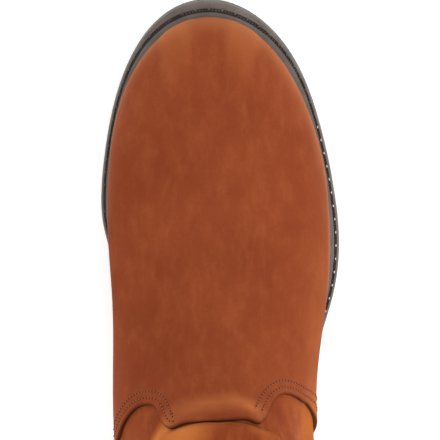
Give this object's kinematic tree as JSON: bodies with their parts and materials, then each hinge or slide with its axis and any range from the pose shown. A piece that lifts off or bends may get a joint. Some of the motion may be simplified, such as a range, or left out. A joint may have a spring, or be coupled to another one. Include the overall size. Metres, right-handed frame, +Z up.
{
  "type": "western work boot",
  "caption": "Right pull-on western work boot with a round toe, welted lugged sole, stacked block heel, notched vamp, tall shaft and side pull straps.",
  "frame": {"origin": "bottom centre of the bounding box, on the floor that the boot stands on", "axes": "+Z up the shaft, -Y towards the toe, +X towards the inner (medial) side of the right foot"},
  "size_m": [0.1126, 0.306, 0.332],
  "materials": {
    "outsole_rubber": "matt, lightly textured",
    "heel_rubber": "matt",
    "welt_rubber": "satin",
    "shaft_leather": "oiled nubuck",
    "vamp_leather": "oiled nubuck",
    "counter_leather": "oiled nubuck",
    "insole_lining": "matt",
    "binding_leather": "satin",
    "piping_leather": "satin",
    "strap_leather": "satin"
  },
  "bodies": {
    "root": {"outsole": "outsole_rubber", "heel": "heel_rubber", "welt": "welt_rubber", "upper": "shaft_leather", "vamp": "vamp_leather", "counter": "counter_leather", "insole": "insole_lining", "collar_binding": "binding_leather", "side_seam_medial": "piping_leather", "side_seam_lateral": "piping_leather", "pull_strap_medial": "strap_leather", "pull_strap_lateral": "strap_leather"}
  },
  "joints": []
}
